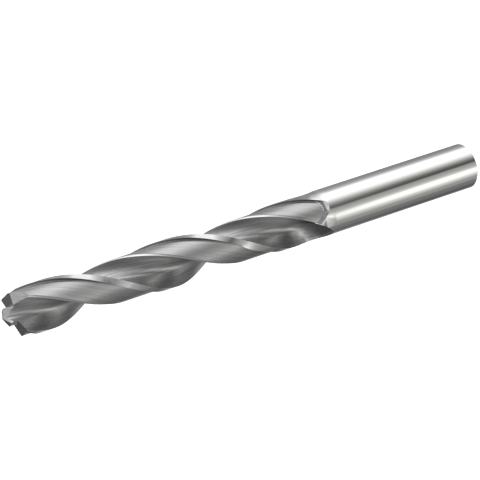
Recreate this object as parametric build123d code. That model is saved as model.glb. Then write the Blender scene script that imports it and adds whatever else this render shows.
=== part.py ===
from build123d import *
import math
import os

os.makedirs("parts", exist_ok=True)

# A two-flute twist drill ground from one round bar, standing on its shank end with its point up
# Lengths are in millimetres and angles in degrees, and each angle turns from the cutting lip

# Whole tool
tool_diameter = 13.0
overall_length = 151.0
flute_length = 101.0
flute_lead = 76.0
shank_diameter = 12.96
shank_edge_chamfer = 0.3

# Flute across the axis, with the cutting face along +X
web_thickness = 1.7
flute_bottom_radius = 1.95
flute_width_angle = 95.0
heel_diameter = 10.8
heel_wall_angle = 118.0
heel_flare_angle = 157.0
flute_wheel_radius = 17.0
flute_exit_angle = 84.0

# Land behind each margin
margin_angle = 16.5
clearance_diameter = 11.5
clearance_end_gap = 1.2
clearance_end_slope = 22.0
clearance_end_turn = 25.0

# Outer lips, with a flat relief that drops away behind each
lip_rise = 4.8
lip_relief = 8.5
lip_back_slope = 51.5
lip_back_turn = 29.0
lip_back_offset = 2.35

# Ground corner of each outer lip
corner_slope = 76.0
corner_turn = 33.5
corner_offset = 5.64

# Raised pilot at the centre, whose two reliefs meet in a short chisel edge
pilot_diameter = 4.9
pilot_height = 3.38
pilot_root_radius = 0.65
pilot_rise = 25.8
pilot_relief = 8.0
pilot_back_slope = 60.0
pilot_back_turn = 40.0
pilot_back_offset = 0.15
pilot_back_diameter = 5.5

# Cutters reach past the skin of the bar, and past the lip into the flute, by this much
overcut = 1.5
flute_overlap = 22.0

tool_radius = tool_diameter / 2
shank_radius = shank_diameter / 2
corner_height = overall_length - pilot_height
flute_end_height = overall_length - flute_length
cutter_radius = tool_radius + overcut
cutter_size = 2 * overall_length
run_out_sections = 8
stand = (Align.CENTER, Align.CENTER, Align.MIN)

def grade(angle):
    return math.tan(math.radians(angle))

def polar(radius, angle):
    return Vector(radius * math.cos(math.radians(angle)), radius * math.sin(math.radians(angle)))

def helix_turn(height):
    return (height - corner_height) / flute_lead * 360

def reach_to(radius, start, direction):
    along = start.dot(direction)
    return start + direction * (math.sqrt(along**2 - start.dot(start) + radius**2) - along)

def twisted(section, bottom, top):
    placed = Pos(0, 0, bottom) * Rot(0, 0, helix_turn(bottom)) * section
    turn = helix_turn(top) - helix_turn(bottom)
    return Solid.extrude_linear_with_rotation(placed.face(), (0, 0, bottom), (0, 0, top - bottom), turn)

def above_plane(point, fall):
    plane = Plane(origin=point, z_dir=fall + Vector(0, 0, 1))
    return plane * Box(cutter_size, cutter_size, cutter_size, align=stand)

# The body tapers back from the point, so the shank is a little smaller than the hole it cuts
def bar():
    shank = Cylinder(shank_radius, flute_end_height, align=stand)
    shank = chamfer(shank.faces().sort_by(Axis.Z)[0].edges(), shank_edge_chamfer)
    body = Cone(shank_radius, tool_radius, corner_height - flute_end_height, align=stand)
    point = Cylinder(tool_radius, pilot_height, align=stand)
    return shank + Pos(0, 0, flute_end_height) * body + Pos(0, 0, corner_height) * point

def flute_centre():
    reach = web_thickness / 2 + flute_bottom_radius
    return Vector(math.sqrt(reach**2 - flute_bottom_radius**2), flute_bottom_radius)

def flute_section():
    centre = flute_centre()
    face_end = centre - Vector(0, flute_bottom_radius)
    wall_start = centre + polar(flute_bottom_radius, heel_wall_angle + 90)
    bottom = centre + polar(flute_bottom_radius, heel_wall_angle / 2 + 180)
    heel = polar(heel_diameter / 2, flute_width_angle)
    flare_end = reach_to(cutter_radius, heel, polar(1, heel_flare_angle))
    return make_face([
        Line((cutter_radius, 0), face_end),
        ThreePointArc(face_end, bottom, wall_start),
        TangentArc(wall_start, heel, tangent=polar(1, heel_wall_angle)),
        Line(heel, flare_end),
        ThreePointArc(flare_end, polar(cutter_radius, flute_width_angle / 2), (cutter_radius, 0)),
    ])

def wheel_drop(lift):
    return math.sqrt(flute_wheel_radius**2 - (flute_wheel_radius - lift) ** 2)

def exit_lift(radius):
    leaving = reach_to(radius + flute_bottom_radius, flute_centre(), polar(1, flute_exit_angle))
    return (leaving - flute_centre()).length

def flute_run_out(section, start_height):
    full_drop = wheel_drop(exit_lift(cutter_radius))
    wires = []
    for step in range(run_out_sections + 1):
        drop = full_drop * step / run_out_sections
        lift = flute_wheel_radius - math.sqrt(flute_wheel_radius**2 - drop**2)
        height = start_height - drop
        shift = Pos(polar(lift, flute_exit_angle))
        placed = Pos(0, 0, height) * Rot(0, 0, helix_turn(height)) * shift * section
        wires.append(placed.face().outer_wire())
    return Solid.make_loft(wires)

def flute_cutters():
    section = flute_section()
    start_height = flute_end_height + wheel_drop(exit_lift(shank_radius))
    return [twisted(section, start_height, overall_length + overcut), flute_run_out(section, start_height)]

def clearance_cutter():
    radius = clearance_diameter / 2 - overcut
    last_angle = flute_width_angle - 180
    middle_angle = (last_angle - margin_angle) / 2
    section = make_face([
        Line(polar(cutter_radius, -margin_angle), polar(radius, -margin_angle)),
        ThreePointArc(polar(radius, -margin_angle), polar(radius, middle_angle), polar(radius, last_angle)),
        Line(polar(radius, last_angle), polar(cutter_radius, last_angle)),
        ThreePointArc(
            polar(cutter_radius, last_angle),
            polar(cutter_radius, middle_angle),
            polar(cutter_radius, -margin_angle),
        ),
    ])
    end_height = flute_end_height + clearance_end_gap
    end_angle = helix_turn(end_height) - clearance_end_turn
    end_point = polar(tool_radius, end_angle) + Vector(0, 0, end_height)
    wheel_path = above_plane(end_point, polar(1 / grade(clearance_end_slope), end_angle))
    land = twisted(section, end_height - overcut, overall_length + overcut) & wheel_path
    return land - Cylinder(clearance_diameter / 2, cutter_size, align=stand)

def upright(diameter):
    return Pos(0, 0, overall_length) * Cylinder(diameter / 2, overall_length)

def behind_lip(shape, overlap):
    side = Box(cutter_size, cutter_size, cutter_size, align=(Align.CENTER, Align.MAX, Align.CENTER))
    return shape & Pos(0, 0, corner_height) * Rot(0, 0, overlap) * side

def above_back(lip_point, lip_fall, slope, turn, offset):
    edge = polar(1, -turn)
    point = polar(offset, -turn - 90)
    drop = (point - Vector(lip_point.X, lip_point.Y)).dot(lip_fall)
    point += Vector(0, 0, lip_point.Z - drop)
    return above_plane(point, edge * lip_fall.dot(edge) + polar(grade(slope), -turn - 90))

def outer_lip_cutters():
    corner = Vector(tool_radius, 0, corner_height)
    lip_fall = Vector(grade(lip_rise), -grade(lip_relief))
    relief = behind_lip(above_plane(corner, lip_fall) - upright(pilot_diameter), flute_overlap)
    root = relief.edges().filter_by(GeomType.ELLIPSE).sort_by(Axis.Z)[0]
    relief = fillet(root, pilot_root_radius)
    back = above_back(corner, lip_fall, lip_back_slope, lip_back_turn, lip_back_offset)
    return [relief, behind_lip(back - upright(pilot_back_diameter), 0)]

def corner_cutter():
    edge_point = polar(corner_offset, -corner_turn) + Vector(0, 0, corner_height)
    return above_plane(edge_point, polar(grade(corner_slope), -corner_turn))

def pilot_cutters():
    apex = Vector(0, 0, overall_length)
    lip_fall = Vector(grade(pilot_rise), -grade(pilot_relief))
    back = above_back(apex, lip_fall, pilot_back_slope, pilot_back_turn, pilot_back_offset)
    return [above_plane(apex, lip_fall), behind_lip(back & upright(pilot_back_diameter), 0)]

def drill_bit():
    tool = bar()
    cutters = [*flute_cutters(), clearance_cutter(), *outer_lip_cutters(), corner_cutter(), *pilot_cutters()]
    for cutter in cutters:
        tool -= cutter
        tool -= Rot(0, 0, 180) * cutter
    return tool

export_step(drill_bit(), "parts/drill_bit.step")
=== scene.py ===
import math

import bpy
from mathutils import Matrix, Vector

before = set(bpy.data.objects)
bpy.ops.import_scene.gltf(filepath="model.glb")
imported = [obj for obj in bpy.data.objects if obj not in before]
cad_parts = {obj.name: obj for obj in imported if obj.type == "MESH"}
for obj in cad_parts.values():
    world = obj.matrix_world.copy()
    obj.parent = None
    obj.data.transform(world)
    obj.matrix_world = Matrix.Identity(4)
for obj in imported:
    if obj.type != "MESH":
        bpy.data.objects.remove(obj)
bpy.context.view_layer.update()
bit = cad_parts["drill_bit"]
bpy.ops.object.select_all(action="DESELECT")

millimetre = 0.001


# shader maths: a socket that can be written into expressions
class Sock:
    def __init__(self, nodes, socket):
        self.nodes = nodes
        self.socket = socket

    def maths(self, operation, *others, flip=False):
        inputs = [self, *others]
        if flip:
            inputs.reverse()
        return self.nodes.make("ShaderNodeMath", {"operation": operation}, dict(enumerate(inputs)))

    def __add__(self, other):
        return self.maths("ADD", other)

    def __radd__(self, other):
        return self.maths("ADD", other)

    def __sub__(self, other):
        return self.maths("SUBTRACT", other)

    def __rsub__(self, other):
        return self.maths("SUBTRACT", other, flip=True)

    def __mul__(self, other):
        return self.maths("MULTIPLY", other)

    def __rmul__(self, other):
        return self.maths("MULTIPLY", other)

    def __truediv__(self, other):
        return self.maths("DIVIDE", other)

    def __rtruediv__(self, other):
        return self.maths("DIVIDE", other, flip=True)


class NodeSet:
    def __init__(self, material):
        self.material = material
        self.material.use_nodes = True
        self.tree = self.material.node_tree
        self.tree.nodes.clear()

    def make(self, kind, settings=None, sockets=None, output=0):
        node = self.tree.nodes.new(kind)
        for key, value in (settings or {}).items():
            if key == "ramp":
                self.setRamp(node, value)
            else:
                setattr(node, key, value)
        for key, value in (sockets or {}).items():
            if isinstance(value, Sock):
                self.tree.links.new(value.socket, node.inputs[key])
            else:
                node.inputs[key].default_value = value
        return Sock(self, node.outputs[output]) if node.outputs else node

    def setRamp(self, node, stops):
        elements = node.color_ramp.elements
        while len(elements) < len(stops):
            elements.new(1)
        for element, (place, value) in zip(elements, stops):
            element.position = place
            element.color = (value, value, value, 1)

    # the three parts of a vector
    def parts(self, vector):
        split = self.make("ShaderNodeSeparateXYZ", sockets={"Vector": vector})
        return [Sock(self, output) for output in split.socket.node.outputs]

    # from 0 to 1, smoothly, as the value goes from start to end
    def rise(self, value, start, end):
        smooth = {"interpolation_type": "SMOOTHSTEP"}
        return self.make("ShaderNodeMapRange", smooth, {"Value": value, "From Min": start, "From Max": end})

    # 1 where the value lies between low and high, with soft edges outside them
    def between(self, value, low, high, soft):
        return self.rise(value, low - soft, low) * (1 - self.rise(value, high, high + soft))


surfaces = {
    "twistStart": 0.14762,  # the height where the twist of the flutes starts from
    "lead": 0.076,  # one full turn of the flutes
    # where each finish lies: the lowest and the highest value, and the width of the soft edge
    "skin": (0.97, 2, 0.01),  # how far the land, margin and shank face outward
    "landRadius": (0.0055, 0.0060, 0.0001),
    "polishedRadius": (0.0061, 1, 0.0001),
    "marginHeight": (0.0525, 1, 0.001),
    "flareRadius": (0.00544, 0.00567, 0.00002),
    "flareWay": (-9, -5.6, 0.1),
    "stepRadius": (0.00584, 0.00638, 0.00002),  # the wall between the land and the margin
    "stepWay": (6.9, 9, 0.1),
    "stepHeight": (0.0525, 1, 0.0005),
    "facetUpward": (0.55, 2, 0.05),  # how far the facets of the point face upward
    "facetHeight": (0.14, 1, 0.001),
    "runOutRadius": (0, 0.0056, 0.0002),
    "runOutHeight": (0, 0.056, 0.006),
}

steel = {
    # how bright the flute is, by its way round in millimetres, from its heel to its cutting lip: a darker
    # ground tone, with painted shade deepest at the heel wall
    "flute": [
        (-6.5, 0.31), (-5.4, 0.31), (-4.2, 0.40), (-3.0, 0.45), (0.4, 0.46), (1.4, 0.58),
        (2.4, 0.76), (6.5, 0.76),
    ],
    "fluteReach": 8,  # millimetres that the ramp of the flute reaches each way
    "runOutShade": 0.60,  # the flute's share of brightness left where it runs out, as painted shade in that hollow
    "land": 0.53,
    # painted highlight: a thin bright line along the heel edge of the land
    "flareHighlight": 0.80,
    # painted shadow: the dark line on the wall between the land and the margin
    "step": 0.22,
    "facet": 0.43,
    "polished": 0.85,
    "margin": 0.72,
    "fluteRoughness": 0.26,
    "landRoughness": 0.31,
    "polishedRoughness": 0.09,
    "streakSize": 2000,  # streaks to the metre, across them
    "streakLength": 0.05,  # the less, the longer
    "streakDetail": 3.0,
    "streakShade": 0.7,
    "streakDepth": 0.032,  # millimetres
    "grainSize": 3600,
    "grainDetail": 2.0,
    "grainShade": 0.20,
    "grainDepth": 0.016,
    "polishedGrain": 0.05,  # the share of the grain's depth left on what is polished
}


def groundSteel():
    n = NodeSet(bpy.data.materials.new("groundSteel"))
    place = n.make("ShaderNodeTexCoord", output="Object")
    x, y, z = n.parts(place)
    radius = (x * x + y * y).maths("SQRT")

    # the same point with the twist of the flutes taken out, and its way round the flute
    twist = (z - surfaces["twistStart"]) * (2 * math.pi / surfaces["lead"])
    cos = twist.maths("COSINE")
    sin = twist.maths("SINE")
    across = x * cos + y * sin
    along = y * cos - x * sin
    way = (across - along) * (across + along).maths("SIGN") * (1 / millimetre)

    def mix(mask, one, other):
        return one + mask * (other - one)

    def noise(vector, scale, detail):
        return n.make("ShaderNodeTexNoise", sockets={"Vector": vector, "Scale": scale, "Detail": detail})

    # the surfaces of the tool, told apart by their place and by how far they face outward or upward
    faceX, faceY, upward = n.parts(n.make("ShaderNodeTexCoord", output="Normal"))
    outward = (x * faceX + y * faceY) / radius
    skin = n.between(outward, *surfaces["skin"])
    land = skin * n.between(radius, *surfaces["landRadius"])
    polished = skin * n.between(radius, *surfaces["polishedRadius"])
    margin = n.between(z, *surfaces["marginHeight"])
    # this mask carries a painted highlight along the heel edge
    flareHighlight = n.between(radius, *surfaces["flareRadius"]) * n.between(way, *surfaces["flareWay"])
    # this mask carries a painted shadow line on the wall before the margin
    step = n.between(radius, *surfaces["stepRadius"]) * n.between(way, *surfaces["stepWay"])
    step = step * (1 - skin) * n.between(z, *surfaces["stepHeight"])
    facet = n.between(upward, *surfaces["facetUpward"]) * n.between(z, *surfaces["facetHeight"])
    # the run-out mask carries painted shade in the hollow where the flute runs out
    runOutShade = n.between(z, *surfaces["runOutHeight"]) * n.between(radius, *surfaces["runOutRadius"])

    # streaks from the grinding wheel follow the twist, and a fine grain lies over all
    ground = n.make("ShaderNodeCombineXYZ", sockets={"X": across, "Y": along, "Z": z * steel["streakLength"]})
    streak = noise(ground, steel["streakSize"], steel["streakDetail"])
    grain = noise(place, steel["grainSize"], steel["grainDetail"])

    # the flute's ramp gives its darker ground tone plus painted shade, darkest towards the heel wall
    reach = steel["fluteReach"]
    stops = [((distance + reach) / (2 * reach), bright) for distance, bright in steel["flute"]]
    flute = n.make("ShaderNodeValToRGB", {"ramp": stops}, {"Fac": (way + reach) / (2 * reach)})
    # painted shade where the flute runs out
    bright = mix(runOutShade, flute, flute * steel["runOutShade"])
    bright = mix(land, bright, steel["land"])
    # painted highlight along the heel edge
    bright = mix(flareHighlight, bright, steel["flareHighlight"])
    # painted shadow on the step wall before the margin
    bright = mix(step, bright, steel["step"])
    bright = mix(facet, bright, steel["facet"])
    bright = mix(polished, bright, mix(margin, steel["polished"], steel["margin"]))
    streaks = (streak - 0.5) * (1 - polished) * steel["streakShade"]
    grains = (grain - 0.5) * steel["grainShade"]
    tone = (bright * (1 + streaks + grains)).maths("MINIMUM", 1)
    colour = n.make("ShaderNodeCombineColor", sockets={"Red": tone, "Green": tone, "Blue": tone})

    satin = mix(land, steel["fluteRoughness"], steel["landRoughness"])
    roughness = mix(polished, satin, steel["polishedRoughness"])
    streakHeight = streak * (1 - polished) * steel["streakDepth"]
    grainHeight = grain * mix(polished, 1, steel["polishedGrain"]) * steel["grainDepth"]
    relief = {"Strength": 1.0, "Distance": millimetre, "Height": streakHeight + grainHeight}
    bump = n.make("ShaderNodeBump", sockets=relief)
    shader = n.make(
        "ShaderNodeBsdfPrincipled",
        sockets={"Base Color": colour, "Roughness": roughness, "Metallic": 1.0, "Normal": bump},
    )
    n.make("ShaderNodeOutputMaterial", sockets={"Surface": shader})
    return n.material


bit.data.materials.clear()
bit.data.materials.append(groundSteel())
print("steel finished")

view = {
    "lens": 181.3,
    "sensor": 36.0,
    "azimuth": 43.73,  # degrees round the tool, from +X
    "out": 0.5627,
    "height": 0.4030,
    "aim": 0.0776,  # height of the point on the axis that it looks at
    "roll": -108.36,
}


def makeCamera():
    azimuth = math.radians(view["azimuth"])
    place = Vector((view["out"] * math.cos(azimuth), view["out"] * math.sin(azimuth), view["height"]))
    back = place - Vector((0, 0, view["aim"]))
    facing = back.to_track_quat("Z", "Y").to_matrix().to_4x4()
    roll = Matrix.Rotation(math.radians(view["roll"]), 4, "Z")
    data = bpy.data.cameras.new("camera")
    data.lens = view["lens"]
    data.sensor_width = view["sensor"]
    camera = bpy.data.objects.new("camera", data)
    camera.matrix_world = Matrix.Translation(place) @ facing @ roll
    bpy.context.scene.collection.objects.link(camera)
    bpy.context.scene.camera = camera


makeCamera()
print("camera placed")

studio = {
    "strength": 2.0,
    # what stands round the tool: at each height in degrees, the degrees round and how bright it is there
    # the degrees round start from the camera's azimuth, and grow clockwise from above
    "rings": [
        (-76, [(-180, 0.14), (180, 0.14)]),
        (-60, [
            (-180, 0.50), (-150, 0.70), (-100, 0.70), (-80, 0.30), (-50, 0.16), (-20, 0.14), (20, 0.18),
            (50, 0.12), (100, 0.09), (130, 0.30), (180, 0.50),
        ]),
        (-48, [
            (-180, 0.60), (-150, 0.90), (-90, 0.90), (-72, 0.50), (-52, 0.18), (-15, 0.17), (15, 0.32),
            (32, 0.34), (52, 0.13), (90, 0.10), (115, 0.18), (140, 0.45), (180, 0.60),
        ]),
        (-41, [
            (-180, 0.45), (-150, 0.50), (-112, 0.60), (-91, 1.10), (-60, 1.10), (-44, 0.70), (-30, 0.32),
            (-10, 0.13), (0, 0.34), (15, 0.42), (36, 0.60), (54, 0.36), (75, 0.20), (126, 0.12), (150, 0.30),
            (180, 0.45),
        ]),
        (-35, [
            (-180, 0.28), (-166, 0.21), (-150, 0.24), (-126, 0.30), (-112, 0.42), (-101, 0.72),
            (-91, 1.28), (-56, 1.32), (-44, 0.96), (-30, 0.43), (-17, 0.13), (-10, 0.09), (-4, 0.09),
            (-1, 0.36), (12, 0.44), (21, 0.66), (31, 1.42), (42, 1.42), (54, 0.86), (70, 0.38), (96, 0.21),
            (126, 0.12), (136, 0.07), (150, 0.23), (170, 0.40), (180, 0.28),
        ]),
        (-30, [
            (-180, 0.40), (-150, 0.30), (-120, 0.38), (-104, 0.65), (-91, 1.20), (-58, 1.25), (-44, 0.82),
            (-27, 0.38), (-10, 0.16), (0, 0.32), (18, 0.52), (36, 0.85), (52, 0.52), (70, 0.32), (100, 0.20),
            (130, 0.14), (150, 0.36), (168, 0.60), (180, 0.40),
        ]),
        (-24, [
            (-180, 0.40), (-150, 0.42), (-120, 0.50), (-104, 0.75), (-88, 1.20), (-62, 1.20), (-46, 0.75),
            (-27, 0.45), (0, 0.40), (18, 0.55), (36, 0.60), (50, 0.34), (68, 0.30), (100, 0.20), (126, 0.16),
            (142, 0.30), (160, 0.55), (180, 0.40),
        ]),
        (-16, [
            (-180, 0.40), (-150, 1.10), (-100, 0.90), (-62, 1.50), (-35, 1.10), (-5, 1.10), (15, 0.80),
            (30, 0.55), (57, 0.30), (85, 0.40), (110, 0.26), (150, 0.22), (180, 0.40),
        ]),
        (-5, [
            (-180, 0.30), (-100, 0.70), (-60, 1.40), (-38, 1.70), (-18, 1.20), (0, 0.75), (15, 0.42),
            (30, 0.28), (70, 0.26), (120, 0.22), (180, 0.30),
        ]),
        (6, [
            (-180, 0.15), (-100, 0.40), (-50, 1.20), (-34, 1.20), (-22, 0.55), (-8, 0.28), (60, 0.20),
            (140, 0.15), (180, 0.15),
        ]),
        (15, [(-180, 0.14), (-60, 0.50), (-30, 0.40), (-10, 0.27), (20, 0.22), (50, 0.19), (180, 0.14)]),
        (28, [(-180, 0.14), (-60, 0.90), (0, 0.66), (30, 0.50), (60, 0.20), (140, 0.14), (180, 0.14)]),
    ],
    "warmth": 0.05,  # how much blue is taken from the warmer light
    "warmTurn": (0.42, 0.72, 0.08),  # where it is, in turns from the back
    "warmHeight": (-40, -31, 4),
}


def makeStudio():
    n = NodeSet(bpy.data.worlds.new("studio"))
    direction = n.make("ShaderNodeTexCoord", output="Generated")
    front = math.radians(view["azimuth"])
    ahead = (math.cos(front), math.sin(front), 0)
    aside = (math.sin(front), -math.cos(front), 0)

    def share(axis):
        return n.make("ShaderNodeVectorMath", {"operation": "DOT_PRODUCT"}, {0: direction, 1: axis}, "Value")

    turn = share(aside).maths("ARCTAN2", share(ahead)) * (0.5 / math.pi) + 0.5
    height = n.parts(direction)[2].maths("ARCSINE") * math.degrees(1)
    light = None
    lower = None
    for level, stops in studio["rings"]:
        places = [((angle + 180) / 360, bright / studio["strength"]) for angle, bright in stops]
        ring = n.make("ShaderNodeValToRGB", {"ramp": places}, {"Fac": turn})
        if light is None:
            light = ring
        else:
            # the colour sockets of a Mix node are its inputs 6 and 7 and its output 2
            upper = n.rise(height, lower, level)
            light = n.make("ShaderNodeMix", {"data_type": "RGBA"}, {0: upper, 6: light, 7: ring}, output=2)
        lower = level

    # the light from the right is a little warmer
    warm = n.between(turn, *studio["warmTurn"]) * n.between(height, *studio["warmHeight"])
    blue = light * (1 - warm * studio["warmth"])
    light = n.make("ShaderNodeCombineColor", sockets={"Red": light, "Green": light, "Blue": blue})
    sky = n.make("ShaderNodeBackground", sockets={"Color": light, "Strength": studio["strength"]})
    n.make("ShaderNodeOutputWorld", sockets={"Surface": sky})
    bpy.context.scene.world = n.material


floorSettings = {
    "size": 4,
    "colour": (0.8, 0.8, 0.8, 1),
    "roughness": 0.9,
    "glow": (1, 1, 1, 1),
    "glowStrength": 1.0,
}


def makeFloor():
    bpy.ops.mesh.primitive_plane_add(size=floorSettings["size"], location=(0, 0, 0))
    floor = bpy.context.object
    floor.name = "floor"
    floor.visible_glossy = False
    floor.visible_shadow = False
    n = NodeSet(bpy.data.materials.new("paleFloor"))
    shader = n.make(
        "ShaderNodeBsdfPrincipled",
        sockets={
            "Base Color": floorSettings["colour"],
            "Roughness": floorSettings["roughness"],
            "Emission Color": floorSettings["glow"],
            "Emission Strength": floorSettings["glowStrength"],
        },
    )
    n.make("ShaderNodeOutputMaterial", sockets={"Surface": shader})
    floor.data.materials.append(n.material)


bpy.context.scene.view_settings.view_transform = "Standard"
makeStudio()
makeFloor()
print("studio lit")
